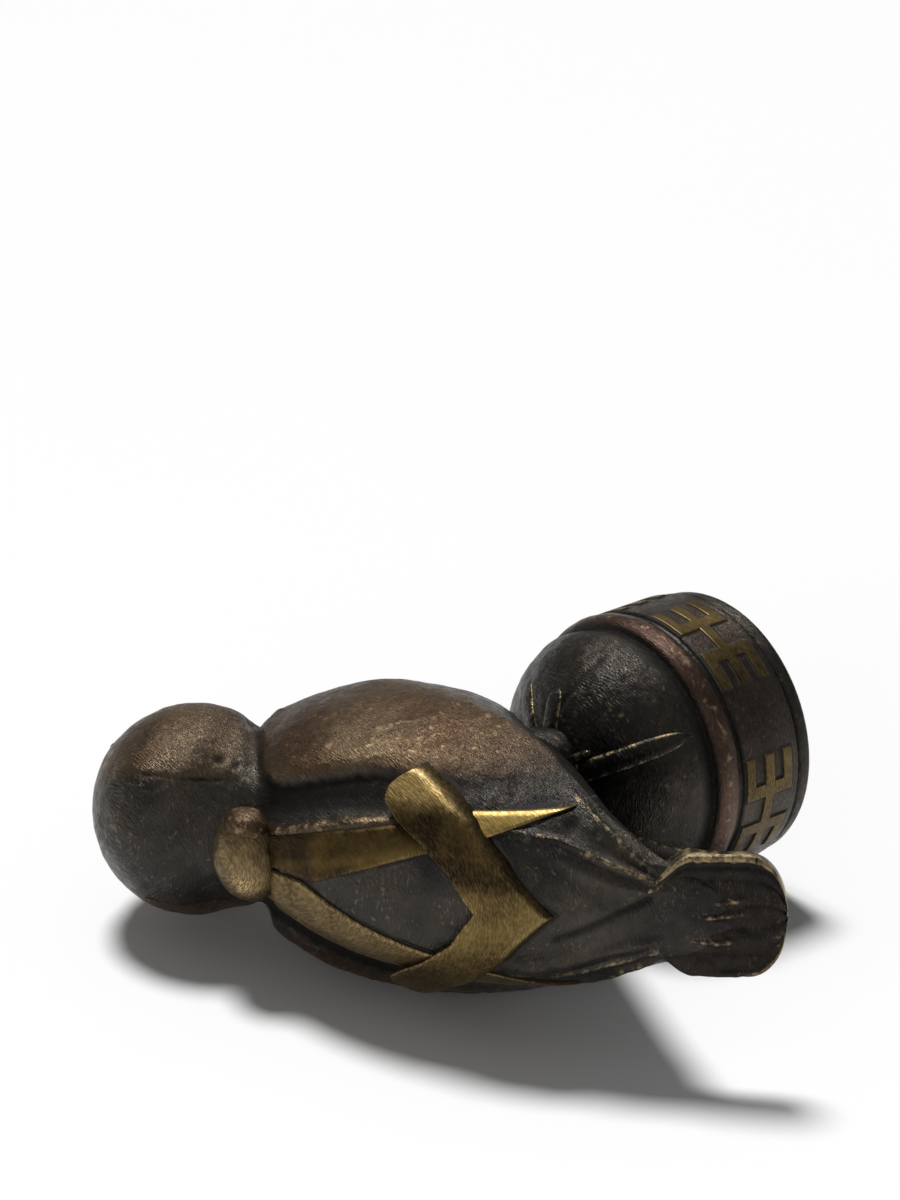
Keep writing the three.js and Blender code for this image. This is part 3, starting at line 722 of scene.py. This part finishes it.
def limb(path, side, half_width, half_height, rows=14, columns=16, wear_and_sheen=0.2, edge_wear_and_sheen=0.0,
         warm=0.0):
    """An ellipse carried along a path, with rounded ends, worn most along its two edges; on the toes
    that brightening is also painted highlight
    """
    rings = []
    for i in range(rows + 1):
        t = i / rows
        centre = np.array(path(t))
        ahead = np.array(path(min(t + 0.01, 1))) - np.array(path(max(t - 0.01, 0)))
        ahead = ahead / np.linalg.norm(ahead)
        across = np.array(side(t))
        across = across / np.linalg.norm(across)
        up = np.cross(across, ahead)
        up = up / np.linalg.norm(up)
        taper = math.sqrt(max(0.02, 1 - (2 * t - 1) ** 6))
        angle = 2 * np.pi * np.arange(columns) / columns
        rings.append(centre + np.outer(np.cos(angle), across) * half_width * taper
                     + np.outer(np.sin(angle), up) * half_height * taper)
    rings = np.array(rings)
    rings = rings + (0.1 * grain(rings, 1.2, 41.0))[..., None] * np.array([0, 0, 1])
    masks = np.zeros((*rings.shape[:2], 4))
    masks[..., 0] = warm
    masks[..., 3] = wear_and_sheen + (edge_wear_and_sheen - wear_and_sheen) * np.abs(np.cos(angle)) ** 4
    casting.grid(rings, masks)


# Toes as azimuth in degrees, start and end radius, half width and height; small toes by their two ends
TOES = [(20, 5, 14.5, 1.7, 0.6), (48, 5, 14.5, 1.5, 0.4), (80, 4, 12.5, 1.5, 0.35),
        (152, 3, 18.6, 1.5, 0.55)]
SMALL_TOES = [((1.1, 4.4), (-1.8, 6.9)), ((-1.5, 3.0), (-6.6, 6.1)), ((-2.2, 1.8), (-5.0, 3.9))]


def make_toes():
    for side in (-1, 1):
        # Toe edges and small toes are brightened as wear and as painted highlights on their lit edges.
        for azimuth, start, end, half, high in TOES:
            angle = math.radians(azimuth) * side

            def path(t):
                radius = lerp(start, end, t)
                height = float(dome_height(radius)) - 0.1
                return (radius * math.cos(angle), radius * math.sin(angle), height)

            limb(path, lambda t: (-math.sin(angle), math.cos(angle), 0), half, high,
                 rows=24, columns=16, wear_and_sheen=0.0, edge_wear_and_sheen=0.75)
        for near, far in SMALL_TOES:
            def small_path(t):
                x, y = (lerp(near[k], far[k], t) for k in range(2))
                return (x, y * side, float(dome_height(math.hypot(x, y))) + 0.1)

            heading = (far[0] - near[0], (far[1] - near[1]) * side)
            limb(small_path, lambda t: (-heading[1], heading[0], 0), 0.6, 0.5, rows=10, columns=10,
                 wear_and_sheen=0.55, edge_wear_and_sheen=0.3)


def ball(centre, radii, columns=40, rows=24, masks=(0, 0, 0, 0.1)):
    rings = []
    angle = 2 * np.pi * np.arange(columns) / columns
    for i in range(1, rows):
        polar = math.pi * i / rows
        ring = np.stack([np.cos(angle) * math.sin(polar), np.sin(angle) * math.sin(polar),
                         np.full(columns, math.cos(polar))], axis=-1)
        rings.append(ring * np.array(radii) + np.array(centre))
    rings = np.array(rings)
    outward = (rings - np.array(centre)) / np.array(radii)
    rings = rings + outward * (0.12 * grain(rings, 1.8, 23.0))[..., None]
    casting.grid(rings, np.ones((*rings.shape[:2], 1)) * np.array(masks))


def face_point(turn, lift, out):
    yaw, pitch = math.radians(turn), math.radians(lift)
    reach = HEAD_RADIUS + out
    level = reach * math.cos(pitch)
    return (HEAD_CENTRE[0] + level * math.cos(yaw), level * math.sin(yaw),
            HEAD_CENTRE[1] + reach * math.sin(pitch))


FACE_WARM = 0.6


def make_face():
    for side in (-1, 1):
        ball(face_point(26 * side, 2, -1.0), (2.4, 2.9, 2.9), 24, 16, masks=(FACE_WARM, 0, 0, 0.15))
        limb(lambda t: face_point(lerp(4, 36, t) * side, lerp(6, 22, t), -0.4),
             lambda t: (0.2, 0, 1), 1.1, 1.2, warm=FACE_WARM)
    limb(lambda t: face_point(0, lerp(4, -16, t), lerp(-0.4, 1.2, t)), lambda t: (0, 1, 0), 1.5, 1.7,
         warm=FACE_WARM)


def make_thighs():
    for side in (-1, 1):
        ball((0.5, 4.2 * side, 33.5), (5.6, 3.9, 6.8))


make_body()
make_tail()
make_base()
make_toes()
make_face()
make_thighs()
ball((9.4, -4.5, 76.9), (3.6, 2.5, 2.7), 40, 24, masks=(0.75, 0, 0, 0.25))


# Brass inlays let into the back: strips drawn in plan between an inner and an outer edge

def skin_tree(offset, bridged=False):
    """The body's skin at an offset, to drop plan points onto"""
    rows, columns = 110, 120
    u = np.linspace(FIRST_RIB, LAST_RIB, rows)[:, None] * np.ones(columns)
    phi = -2 * np.pi * np.arange(columns)[None, :] / columns * np.ones((rows, 1))
    points = body_points(u, phi, offset, bridged).reshape(-1, 3)
    faces = []
    for i in range(rows - 1):
        for j in range(columns):
            a = i * columns + j
            b = i * columns + (j + 1) % columns
            faces.append((a, a + columns, b + columns, b))
    return BVHTree.FromPolygons([Vector(p) for p in points], faces)


def drop_onto(tree, plan):
    heights = []
    for x, y in plan.reshape(-1, 2):
        hit = tree.ray_cast(Vector((x, y, 120)), Vector((0, 0, -1)))[0]
        heights.append(hit.z if hit else 50.0)
    return np.array(heights).reshape(plan.shape[:-1])


def along_path(path, t):
    """Points at shares t of a polyline's length"""
    path = np.asarray(path, dtype=float)
    lengths = np.concatenate([[0], np.cumsum(np.linalg.norm(np.diff(path, axis=0), axis=1))])
    where = np.asarray(t) * lengths[-1]
    return np.stack([np.interp(where, lengths, path[:, k]) for k in range(2)], axis=-1)


SHOULDER = 0.45
BED_MARGIN = 0.38
BED_LIFT = 0.06


def strip_section(inside, outside, grow=0.0):
    """Plan points across a strip, crowded towards its edges, and how far each is from the nearer edge"""
    width = np.linalg.norm(outside - inside, axis=1)
    across = (outside - inside) / np.maximum(width, 1e-6)[:, None]
    inside = inside - across * grow
    outside = outside + across * grow
    width = width + 2 * grow
    shares = np.array([0, 0.12, 0.35, 0.7, 1.0])
    middle = np.linspace(0, 1, 12)[1:-1]
    plan, depth = [], []
    for k in range(len(width)):
        shoulder = min(SHOULDER, width[k] * 0.25)
        run = np.concatenate([shares * shoulder,
                              shoulder + middle * (width[k] - 2 * shoulder),
                              width[k] - shares[::-1] * shoulder])
        share = run / max(width[k], 1e-6)
        plan.append(inside[k] + (outside[k] - inside[k]) * share[:, None])
        depth.append(np.minimum(run, width[k] - run))
    return np.array(plan), np.array(depth)


def make_inlay(name, edges, rise, tan, wear_and_sheen, tarnish, bridged=False):
    inside, outside = edges
    plan, depth = strip_section(inside, outside)
    spans = np.linalg.norm(np.diff((inside + outside) / 2, axis=0), axis=1)
    steps = np.concatenate([[0], np.cumsum(spans)])
    from_end = np.minimum(steps, steps[-1] - steps)
    depth = np.minimum(depth, from_end[:, None])
    top_z = drop_onto(skin_tree(rise, bridged), plan)
    floor_z = drop_onto(skin_tree(-INLAY_DEPTH), plan)
    drop = 0.3 * (1 - np.clip(depth / SHOULDER, 0, 1)) ** 2
    top = np.concatenate([plan, (top_z - drop)[..., None]], axis=-1)
    under = np.concatenate([plan, floor_z[..., None]], axis=-1)[:, ::-1]
    rings = np.concatenate([top, under], axis=1)
    rings = rings + np.array([0, 0, 1]) * (0.05 * grain(rings, 2.0, 11.0))[..., None]
    masks = np.zeros((*rings.shape[:2], 4))
    all_depth = np.concatenate([depth, depth[:, ::-1]], axis=1)
    edge = 1 - smooth(all_depth, 0.0, 0.8)
    masks[..., 0] = tan
    masks[..., 1] = 0.7 * (1 - smooth(all_depth, 0.0, 0.25))
    # The tarnish mask also paints shade and highlights on the chevron and the right strap.
    masks[..., 2] = tarnish(rings[..., 0], rings[..., 1])
    masks[..., 3] = np.clip(wear_and_sheen + 0.5 * edge, 0, 1) * (1 - 0.8 * masks[..., 2])
    strip = Gather()
    strip.grid(rings[:, ::-1], masks[:, ::-1])
    piece = strip.build(name, [BRASS])
    bed_plan, _ = strip_section(inside, outside, BED_MARGIN)
    bed_z = drop_onto(skin_tree(0.0), bed_plan) + BED_LIFT
    bed = np.concatenate([bed_plan, bed_z[..., None]], axis=-1)
    casting.grid(bed[:, ::-1], closed=False, caps=False, slot=1)
    return piece


def edges_between(inner, outer, stations, round_end=0.0):
    t = np.linspace(0, 1, stations)
    if round_end:
        t = 1 - (1 - t) ** 1.6
    inside = along_path(inner, t)
    outside = along_path(outer, t)
    if round_end:
        near_end = np.clip((t - (1 - round_end)) / round_end, 0, 0.985)
        squeeze = (1 - np.sqrt(1 - near_end ** 2))[:, None] * 0.5
        inside, outside = lerp(inside, outside, squeeze), lerp(outside, inside, squeeze)
    return inside, outside


LEFT_STRAP = ([(5.2, 0.15), (-1.4, 0.15), (-10.5, 4.1), (-19.0, 7.4), (-30.2, 12.75)],
              [(5.2, 6.4), (-8.6, 11.0), (-19.0, 12.6), (-30.2, 12.8)])
RIGHT_STRAP = ([(5.2, -4.2), (-5.2, -7.5), (-13.4, -9.8), (-21.0, -12.0), (-30.2, -12.6)],
               [(5.2, -0.15), (-3.4, -0.15), (-14.9, -5.4), (-24.5, -9.4), (-30.2, -12.55)])
CHEVRON_INNER = [(-25.4, 0), (-22.3, 4.9), (-18.0, 8.4), (-14.2, 10.6), (-10.2, 13.2)]
CHEVRON_OUTER = [(-33.4, 0), (-27.4, 7.1), (-22.4, 11.3), (-17.2, 14.1), (-12.4, 16.4), (-11.5, 15.9)]
MIRROR = np.array([1, -1])


def dress(piece, node):
    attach(piece, "root")
    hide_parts(node)
    return piece


def left_strap_tarnish(x, y):
    """Even, a little darker at the nape and at the point"""
    return 0.38 - 0.2 * smooth(-x, 4, 16) + 0.25 * smooth(-x, 22, 28)


def right_strap_tarnish_and_shade(x, y):
    """Tarnish and painted shade: dark at the nape and in the middle; painted highlight: bright on the
    spike and along the inner edge
    """
    inner_edge = np.interp(-x, (-3.4, 14.9, 24.5), (0.15, 5.4, 9.4))
    return (1.0 - 0.22 * bump(-y - inner_edge - 0.7, 0.8)) * (1 - 0.95 * smooth(-x, 19, 22.5))


def chevron_tarnish_and_shade(x, y):
    """Tarnish and painted light: a painted highlight at the right arm's end, painted shade in dark brown
    along that arm, half bright from the point on
    """
    arm = smooth(-y, -1.0, 5.0) * (1 - smooth(-y, 11.2, 14.0))
    return np.maximum(arm, 0.6 * (1 - smooth(-y, 11.2, 14.0)) + 0.1)


dress(make_inlay("strap_left_fine", edges_between(*LEFT_STRAP, 90), STRAP_RISE, 0.8, 0.2,
                 left_strap_tarnish), "strap_left")
dress(make_inlay("strap_right_fine", edges_between(*RIGHT_STRAP, 90), STRAP_RISE, 0.0, 0.1,
                 right_strap_tarnish_and_shade), "strap_right")

arm_inner, arm_outer = edges_between(CHEVRON_INNER, CHEVRON_OUTER, 70, round_end=0.09)
whole_inner = np.concatenate([(arm_inner * MIRROR)[::-1][:-1], arm_inner])
whole_outer = np.concatenate([(arm_outer * MIRROR)[::-1][:-1], arm_outer])
dress(make_inlay("chevron_fine", (whole_inner, whole_outer), CHEVRON_RISE, 0.3, 0.3,
                 chevron_tarnish_and_shade, bridged=True), "chevron")


# The knob at the nape: a boss with a few broad hammered faces

def make_knob():
    knob = Gather()
    columns, rows = 90, 50
    angle = 2 * np.pi * np.arange(columns) / columns
    polar = np.linspace(0.03, math.pi - 0.03, rows)[:, None]
    unit = np.stack([np.cos(angle) * np.sin(polar), np.sin(angle) * np.sin(polar),
                     np.cos(polar) * np.ones(columns)], axis=-1)
    points = unit * np.array(KNOB_RADII) * 0.985 + np.array(KNOB_CENTRE)
    faces = 0.16 * grain(points, 3.2, 2.0) + 0.05 * grain(points, 1.0, 9.0)
    points = points + unit * faces[..., None]
    masks = np.zeros((rows, columns, 4))
    masks[..., 0] = 0.9
    masks[..., 2] = 0.30 + 0.35 * smooth(-points[..., 1], 0.0, 2.4)
    # A painted highlight: the glint clears the tarnish and brightens the wear mask.
    glint = bump(points[..., 0] - 6.6, 1.6) * bump(points[..., 1] + 2.4, 1.3)
    masks[..., 2] *= 1 - glint
    masks[..., 3] = 0.22 + 0.7 * glint
    knob.grid(points[:, ::-1], masks)
    return knob.build("nape_knob_fine", [BRASS])


dress(make_knob(), "nape_knob")


# The fret: combs on a common bar, bent round the drum

FRET_CENTRES = (244, 166, 94, 22, 310)
FRET_STEP = 6
COMB_TIP = 4
COMB_BACK = (1, 2)
FRET_LOW, FRET_MIDDLE, FRET_HIGH = (4.1, 5.7), (7.4, 9.1), (11.0, 12.6)
KEY_MASKS = (0.6, 0.12, 0.66, 0.16)
WORN_EDGE = 0.13


def in_fret(step, z, grow=0.0):
    """Whether a spot, in steps round the band and millimetres up it, is on the brass"""
    wide = grow / (BASE_RADIUS * math.radians(FRET_STEP))

    def within(value, low, high, margin):
        return low - margin <= value <= high + margin

    reach = abs(step)
    if within(z, *FRET_MIDDLE, grow) and reach <= COMB_TIP + wide:
        return True
    if within(reach, *COMB_BACK, wide) and within(z, FRET_LOW[0], FRET_HIGH[1], grow):
        return True
    if not within(reach, COMB_BACK[0], COMB_TIP, wide):
        return False
    return within(z, *FRET_LOW, grow) or within(z, *FRET_HIGH, grow)


def band_plate(target, centre, radius, depth, grow, slot, masks):
    """A curved plate made of the cells of the drum's face that a key covers"""
    rows_z = sorted({z + shift for row in (FRET_LOW, FRET_MIDDLE, FRET_HIGH)
                     for z, shift in ((row[0], -grow), (row[1], grow))})
    edge_z = []
    for low, high in zip(rows_z[:-1], rows_z[1:]):
        count = max(1, round((high - low) / 0.6))
        edge_z += list(np.linspace(low, high, count + 1)[:-1])
    edge_z.append(rows_z[-1])
    wide = grow / (BASE_RADIUS * math.radians(FRET_STEP))
    marks = sorted({side * (mark + shift) for side in (-1, 1)
                    for mark, shift in ((COMB_BACK[0], -wide), (COMB_BACK[1], wide), (COMB_TIP, wide))})
    edge_step = []
    for low, high in zip(marks[:-1], marks[1:]):
        count = max(1, round((high - low) * FRET_STEP / 1.5))
        edge_step += list(np.linspace(low, high, count + 1)[:-1])
    edge_step.append(marks[-1])
    rows, columns = len(edge_z), len(edge_step)
    angles = np.radians(centre + np.array(edge_step) * FRET_STEP)
    layers = []
    for reach in (radius, radius - depth):
        layer = np.zeros((rows, columns, 3))
        layer[..., 0] = reach * np.cos(angles)
        layer[..., 1] = reach * np.sin(angles)
        layer[..., 2] = np.array(edge_z)[:, None]
        layers.append(layer)
    filled = np.zeros((rows - 1, columns - 1), dtype=bool)
    for i in range(rows - 1):
        for j in range(columns - 1):
            middle_step = (edge_step[j] + edge_step[j + 1]) / 2
            middle_z = (edge_z[i] + edge_z[i + 1]) / 2
            filled[i, j] = in_fret(middle_step, middle_z, grow)
    size = rows * columns
    faces = []

    def is_filled(i, j):
        return 0 <= i < rows - 1 and 0 <= j < columns - 1 and filled[i, j]

    for i in range(rows - 1):
        for j in range(columns - 1):
            if not filled[i, j]:
                continue
            first = i * columns + j
            corners = [first, first + 1, first + columns + 1, first + columns]
            faces.append(tuple(corners))
            faces.append(tuple(k + size for k in reversed(corners)))
            neighbours = ((i - 1, j), (i, j + 1), (i + 1, j), (i, j - 1))
            for k, neighbour in enumerate(neighbours):
                p, q = corners[k], corners[(k + 1) % 4]
                if not is_filled(*neighbour):
                    faces.append((p, p + size, q + size, q))
    points = np.concatenate([layer.reshape(-1, 3) for layer in layers])
    used = sorted({k for face in faces for k in face})
    index = {k: n for n, k in enumerate(used)}
    faces = [tuple(index[k] for k in face) for face in faces]
    target.add(points[used], faces, np.ones((len(used), 1)) * np.array(masks), slot)


def make_fret():
    for number, centre in enumerate(FRET_CENTRES, start=1):
        band_plate(casting, centre, BASE_RADIUS + 0.03, depth=0.6, grow=0.32, slot=1, masks=(0, 0, 0, 0))
        key = Gather()
        band_plate(key, centre, BASE_RADIUS + FRET_RISE - 0.02, depth=0.7, grow=0.0, slot=0,
                   masks=KEY_MASKS)
        piece = key.build(f"fret_key_{number}_fine", [BRASS], smooth_shade=False)
        bevel = piece.modifiers.new("worn_edges", "BEVEL")
        bevel.width = WORN_EDGE * MM
        bevel.segments = 2
        bevel.limit_method = "ANGLE"
        bevel.angle_limit = math.radians(40)
        dress(piece, f"fret_key_{number}")


make_fret()

bronze_owl = casting.build("owl_casting_fine", [BRONZE, GRIME])
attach(bronze_owl, "root")
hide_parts("owl_casting")


# Floor, light and camera

FLOOR_REACH = 6.0
WORLD_STRENGTH = 0.15
SKY_STRENGTH = 3.2
SKY_WIDTH = math.radians(16)
SKY_AWAY, SKY_RIGHT = 0.32, 0.2
FRONT_SIZE = (0.5, 0.3)
FRONT_POWER = 0.75


def make_floor():
    mesh = bpy.data.meshes.new("floor")
    corners = [(FLOOR_REACH * x, FLOOR_REACH * y, 0) for x, y in ((-1, -1), (1, -1), (1, 1), (-1, 1))]
    mesh.from_pydata(corners, [], [(0, 1, 2, 3)])
    n = Nodes("floor")
    n.link(n.mix(n.speckle(3.0), (0.88, 0.88, 0.88), (0.90, 0.90, 0.90)), n.shader.inputs["Base Color"])
    n.shader.inputs["Roughness"].default_value = 0.9
    mesh.materials.append(n.material)
    floor = bpy.data.objects.new("floor", mesh)
    bpy.context.scene.collection.objects.link(floor)


def soft_box(name, place, aim, size, power):
    light = bpy.data.lights.new(name, "AREA")
    light.shape = "RECTANGLE"
    light.size, light.size_y = size
    light.energy = power
    lamp = bpy.data.objects.new(name, light)
    lamp.location = place
    lamp.rotation_euler = (Vector(aim) - Vector(place)).to_track_quat("-Z", "Y").to_euler()
    bpy.context.scene.collection.objects.link(lamp)


# The camera's axes in the upright figurine, and its place, as they were fitted to the photograph
CAMERA_AXES = np.array([
    [-0.6566, 0.0252, -0.7538],
    [0.2855, -0.9168, -0.2794],
    [-0.6981, -0.3986, 0.5947],
])
CAMERA_OFFSET = (37.291, 16.498)
CAMERA_DISTANCE = 700
FOCAL_PIXELS = 4970
CENTRE_BELOW = 240
PICTURE_HEIGHT = 1200


def make_camera():
    right, up, toward = CAMERA_AXES
    place = -CAMERA_OFFSET[0] * right - CAMERA_OFFSET[1] * up + CAMERA_DISTANCE * toward
    lens = bpy.data.cameras.new("camera")
    lens.sensor_fit = "AUTO"
    lens.sensor_width = 36
    lens.lens = 36 * FOCAL_PIXELS / PICTURE_HEIGHT
    lens.clip_end = 100
    camera = bpy.data.objects.new("camera", lens)
    axes = np.array([LIE_TURN @ right, LIE_TURN @ up, LIE_TURN @ toward]).T
    raise_view = Matrix.Rotation(math.atan(CENTRE_BELOW / FOCAL_PIXELS), 3, "X")
    turn = Matrix(axes.tolist()) @ raise_view
    camera.matrix_world = Matrix.Translation(Vector(to_world(place))) @ turn.to_4x4()
    bpy.context.scene.collection.objects.link(camera)
    bpy.context.scene.camera = camera
    return camera


def make_lights(camera):
    world = bpy.data.worlds.new("studio")
    world.use_nodes = True
    world.node_tree.nodes["Background"].inputs["Color"].default_value = (1, 1, 1, 1)
    world.node_tree.nodes["Background"].inputs["Strength"].default_value = WORLD_STRENGTH
    bpy.context.scene.world = world
    axes = camera.matrix_world.to_3x3()
    right, toward = (Vector(axes.col[k]).normalized() for k in (0, 2))
    level = Vector((toward.x, toward.y, 0)).normalized()
    sky = bpy.data.lights.new("sky", "SUN")
    sky.energy = SKY_STRENGTH
    sky.angle = SKY_WIDTH
    lamp = bpy.data.objects.new("sky", sky)
    fall = Vector((0, 0, -1)) + level * SKY_AWAY + right * SKY_RIGHT
    lamp.rotation_euler = fall.to_track_quat("-Z", "Y").to_euler()
    bpy.context.scene.collection.objects.link(lamp)
    middle = Vector((0, 0, 0.02))
    place = middle + level * 0.8 - right * 0.35 + Vector((0, 0, 0.35))
    soft_box("front", place, middle, FRONT_SIZE, FRONT_POWER)


bpy.context.scene.view_settings.view_transform = "Standard"
make_floor()
make_lights(make_camera())
